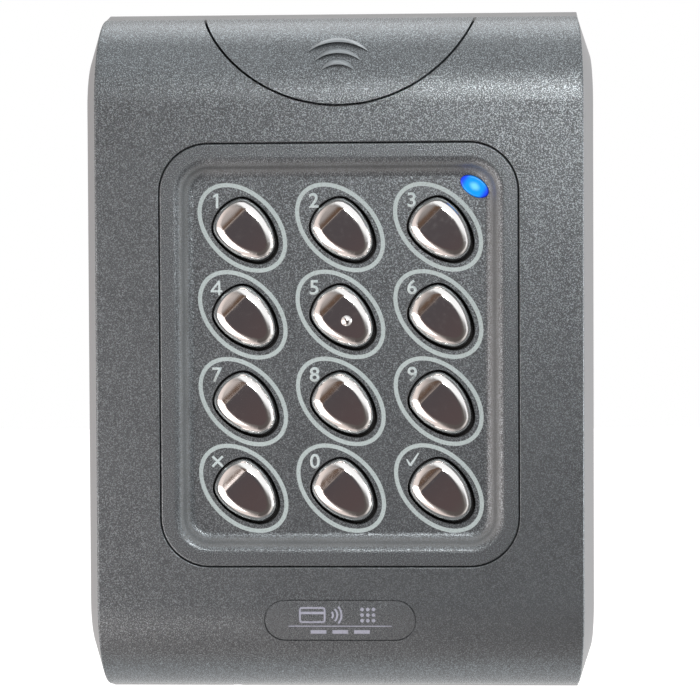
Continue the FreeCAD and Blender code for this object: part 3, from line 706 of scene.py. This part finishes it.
class READER_OT_figures(bpy.types.Operator):
    """Prints the figures and the two signs beside the keys"""
    bl_idname = "reader.figures"
    bl_label = "Key Figures"

    def execute(self, context):
        settings = context.scene.reader_print
        ink = printed("figure ink", settings.figure_ink)
        for key in KEYS:
            made = sign(SIGNS[key], settings) if key in SIGNS else figure(key, settings)
            made.location = key_centre(key) + FIGURE_SHIFT + Vector((0, DISH_Y + PRINT_SINK, 0))
            settle(made, "figure_" + key, ink, "housing")
        return {"FINISHED"}


class READER_OT_badge(bpy.types.Operator):
    """Prints a card, its waves and a small keypad on the badge"""
    bl_idname = "reader.badge"
    bl_label = "Badge Print"

    def execute(self, context):
        settings = context.scene.reader_print
        marks = self.card() + self.waves() + self.keypad() + self.rules()
        made = shift(join(marks), (BADGE_LOW.x + BADGE_HIGH.x) / 2, (BADGE_LOW.z + BADGE_HIGH.z) / 2)
        self.wrap(made, settings)
        settle(made, "badge_print", printed("badge ink", settings.badge_ink), "housing")
        return {"FINISHED"}

    def card(self):
        """Card outline with its stripe."""
        clear_selection()
        bpy.ops.mesh.primitive_plane_add(size=1, rotation=(radians(90), 0, 0))
        card = bpy.context.object
        bpy.ops.object.transform_apply(location=False, rotation=True, scale=False)
        edit(card)
        bpy.ops.transform.resize(value=CARD_SIZE)
        bpy.ops.mesh.bevel(offset=CARD_CORNER, segments=5, affect="VERTICES")
        bpy.ops.mesh.inset(thickness=CARD_LINE)
        bpy.ops.mesh.delete(type="ONLY_FACE")
        bpy.ops.object.mode_set(mode="OBJECT")
        stripe = stroke((-STRIPE_HALF, STRIPE_Z), (STRIPE_HALF, STRIPE_Z), STRIPE_WIDTH)
        return [shift(part, CARD_X, ROW_Z) for part in (card, stripe)]

    def waves(self):
        """Three bows that spread from the card."""
        return [shift(bow(radius, WAVE_WIDTH, WAVE_HALF_ANGLE), WAVES_X, ROW_Z) for radius in WAVE_RADII]

    def keypad(self):
        """Nine dots in a square."""
        dots = []
        for i in range(9):
            clear_selection()
            x, z = (i % 3 - 1) * DOT_GAP, (i // 3 - 1) * DOT_GAP
            bpy.ops.mesh.primitive_circle_add(vertices=20, radius=DOT_R, fill_type="NGON",
                                              rotation=(radians(90), 0, 0),
                                              location=(x + DOTS_X, 0, z + ROW_Z))
            bpy.ops.object.transform_apply(location=True, rotation=True, scale=False)
            dots.append(bpy.context.object)
        return dots

    def rules(self):
        """Long thin rule with three dashes under it."""
        rule = stroke((-RULE_HALF, RULE_Z), (RULE_HALF, RULE_Z), RULE_WIDTH)
        dashes = [stroke((x * MM, DASH_Z), ((x + DASH_LENGTH) * MM, DASH_Z), DASH_WIDTH)
                  for x in DASH_STARTS]
        return [rule] + dashes

    def wrap(self, made, settings):
        """Lays the flat print on the curved badge and thickens it."""
        edit(made)
        for i in range(1, BADGE_SLICES):
            level = BADGE_LOW.z + (BADGE_HIGH.z - BADGE_LOW.z) * i / BADGE_SLICES
            bpy.ops.mesh.select_all(action="SELECT")
            bpy.ops.mesh.bisect(plane_co=(0, 0, level), plane_no=(0, 0, 1))
        bpy.ops.mesh.select_all(action="SELECT")
        bpy.ops.transform.translate(value=(0, FRONT_Y - 2 * MM, 0))
        bpy.ops.object.mode_set(mode="OBJECT")
        lay = made.modifiers.new("lay", "SHRINKWRAP")
        lay.target, lay.wrap_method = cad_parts["name_badge"], "PROJECT"
        lay.use_project_y, lay.offset = True, BADGE_LIFT
        thick = made.modifiers.new("ink", "SOLIDIFY")
        thick.thickness, thick.offset = settings.ink_depth, 0
        for name in ("lay", "ink"):
            bpy.ops.object.modifier_apply(modifier=name)
        edit(made)
        bpy.ops.mesh.normals_make_consistent(inside=False)
        bpy.ops.object.mode_set(mode="OBJECT")


class READER_OT_stage(bpy.types.Operator):
    """Sets the floor, the soft lights and the camera"""
    bl_idname = "reader.stage"
    bl_label = "Studio"

    def execute(self, context):
        settings = context.scene.reader_stage
        self.floor(context, settings)
        self.surround(context)
        for name, (place, size, tint) in LIGHTS.items():
            self.soft_light(name + "_light", place, size, getattr(settings, name + "_power"), tint)
        self.camera(context, settings)
        return {"FINISHED"}

    def floor(self, context, settings):
        clear_selection()
        half = settings.floor_size
        bpy.ops.mesh.primitive_plane_add(size=2 * half, location=(0, 0, -settings.floor_drop))
        floor = context.object
        floor.name = "floor"
        paint = Paint("pale floor", Roughness=0.9, Emission_Strength=0.5, Emission_Color=WHITE)
        mottle = paint.noise(0.4, 2.0)
        paint.feed("Base Color", paint.mix(mottle, grey(0.84), grey(0.88)))
        floor.data.materials.append(paint.owner)
        floor.visible_glossy = floor.visible_diffuse = False

    def surround(self, context):
        """Pale room: dark where the camera stands and at the lower right, warm at the left.

        x, y and z are the direction looked in, each from -1 to 1: right, away and up.
        """
        paint = Paint("pale room", world=True)
        x, y, z = paint.xyz(paint.node("TexCoord", out=0))
        left = paint.smooth(-0.9 * x - 0.35 * z, 0.12, 0.5)
        above = paint.smooth(0.66 * x + 0.78 * z, 0.16, 0.5)
        behind = paint.smooth(y, -0.25, 0.1)
        low_right = paint.smooth(1.5 * x - 0.3 * z, 0.0, 0.35) * paint.smooth(z, 0.2, -0.1)
        low_right = low_right * paint.smooth(y, -0.40, -0.60)
        streak = paint.smooth(z - x, 0.36, 0.5) * paint.smooth(y, -0.83, -0.89)
        right = paint.smooth(x, 0.42, 0.75)
        shade = paint.smooth(y, -0.18, -0.04) * paint.smooth(y, 0.12, 0.0)
        crease = paint.smooth(y, -0.966, -0.956) * paint.smooth(y, -0.935, -0.945) * (z > x)
        room = paint.mix(left, NEAR_WALL, LEFT_WALL)
        room = paint.mix(right, room, RIGHT_WALL)
        room = paint.mix(above, room, grey(1.1))
        room = paint.mix(streak, room, STREAK_TONE)
        cove = paint.mix(paint.smooth(z, 0.2, -0.4), grey(0.70), grey(1.1))
        room = paint.mix(behind, room, cove)
        room = paint.mix(shade * 0.35, room, SHADE_TONE)
        room = paint.mix(low_right * 0.8, room, LOW_RIGHT_TONE)
        core = paint.mix(paint.smooth(z, 0.0, -0.25), CORE_HIGH, CORE_LOW)
        room = paint.mix(paint.smooth(y, -0.955, -0.90), core, room)
        room = paint.mix(crease, room, CREASE_TONE)
        paint.feed("Color", paint.mix(paint.node("LightPath", out=0), room, WHITE))
        context.scene.world = paint.owner

    def soft_light(self, name, place, size, power, tint):
        data = bpy.data.lights.new(name, "AREA")
        data.shape, data.size, data.energy, data.color = "SQUARE", size, power, tint
        lamp = bpy.data.objects.new(name, data)
        lamp.location = place
        lamp.rotation_euler = (-Vector(place)).to_track_quat("-Z", "Y").to_euler()
        bpy.context.scene.collection.objects.link(lamp)

    def camera(self, context, settings):
        data = bpy.data.cameras.new("camera")
        data.lens = settings.lens
        data.sensor_width = SENSOR_WIDTH
        camera = bpy.data.objects.new("camera", data)
        camera.location = CAMERA_PLACE
        aim = (CAMERA_AIM - CAMERA_PLACE).to_track_quat("-Z", "Y").to_matrix().to_4x4()
        camera.rotation_euler = (aim @ Matrix.Rotation(CAMERA_ROLL, 4, "Z")).to_euler()
        context.scene.collection.objects.link(camera)
        context.scene.camera = camera
        context.scene.view_settings.view_transform = "Standard"


class READER_PT_panel(bpy.types.Panel):
    """Lists the steps that finish the reader"""
    bl_label = "Access Reader"
    bl_idname = "READER_PT_panel"
    bl_space_type = "VIEW_3D"
    bl_region_type = "UI"
    bl_category = "Access Reader"

    def draw(self, context):
        for step in STEPS:
            self.layout.operator(step.bl_idname)


GROUPS = {"reader_plastic": ReaderPlastic, "reader_print": ReaderPrint, "reader_bright": ReaderBright,
          "reader_stage": ReaderStage}
STEPS = (READER_OT_plastic, READER_OT_keys, READER_OT_rubber, READER_OT_electronics, READER_OT_light,
         READER_OT_rings, READER_OT_figures, READER_OT_badge, READER_OT_stage)


def register():
    for name, group in GROUPS.items():
        bpy.utils.register_class(group)
        setattr(bpy.types.Scene, name, bpy.props.PointerProperty(type=group))
    for cls in STEPS + (READER_PT_panel,):
        bpy.utils.register_class(cls)


def unregister():
    for cls in reversed(STEPS + (READER_PT_panel,)):
        bpy.utils.unregister_class(cls)
    for name, group in reversed(list(GROUPS.items())):
        delattr(bpy.types.Scene, name)
        bpy.utils.unregister_class(group)


def main():
    register()
    clear_selection()
    for step in STEPS:
        family, action = step.bl_idname.split(".")
        getattr(getattr(bpy.ops, family), action)()


if __name__ == "__main__":
    main()
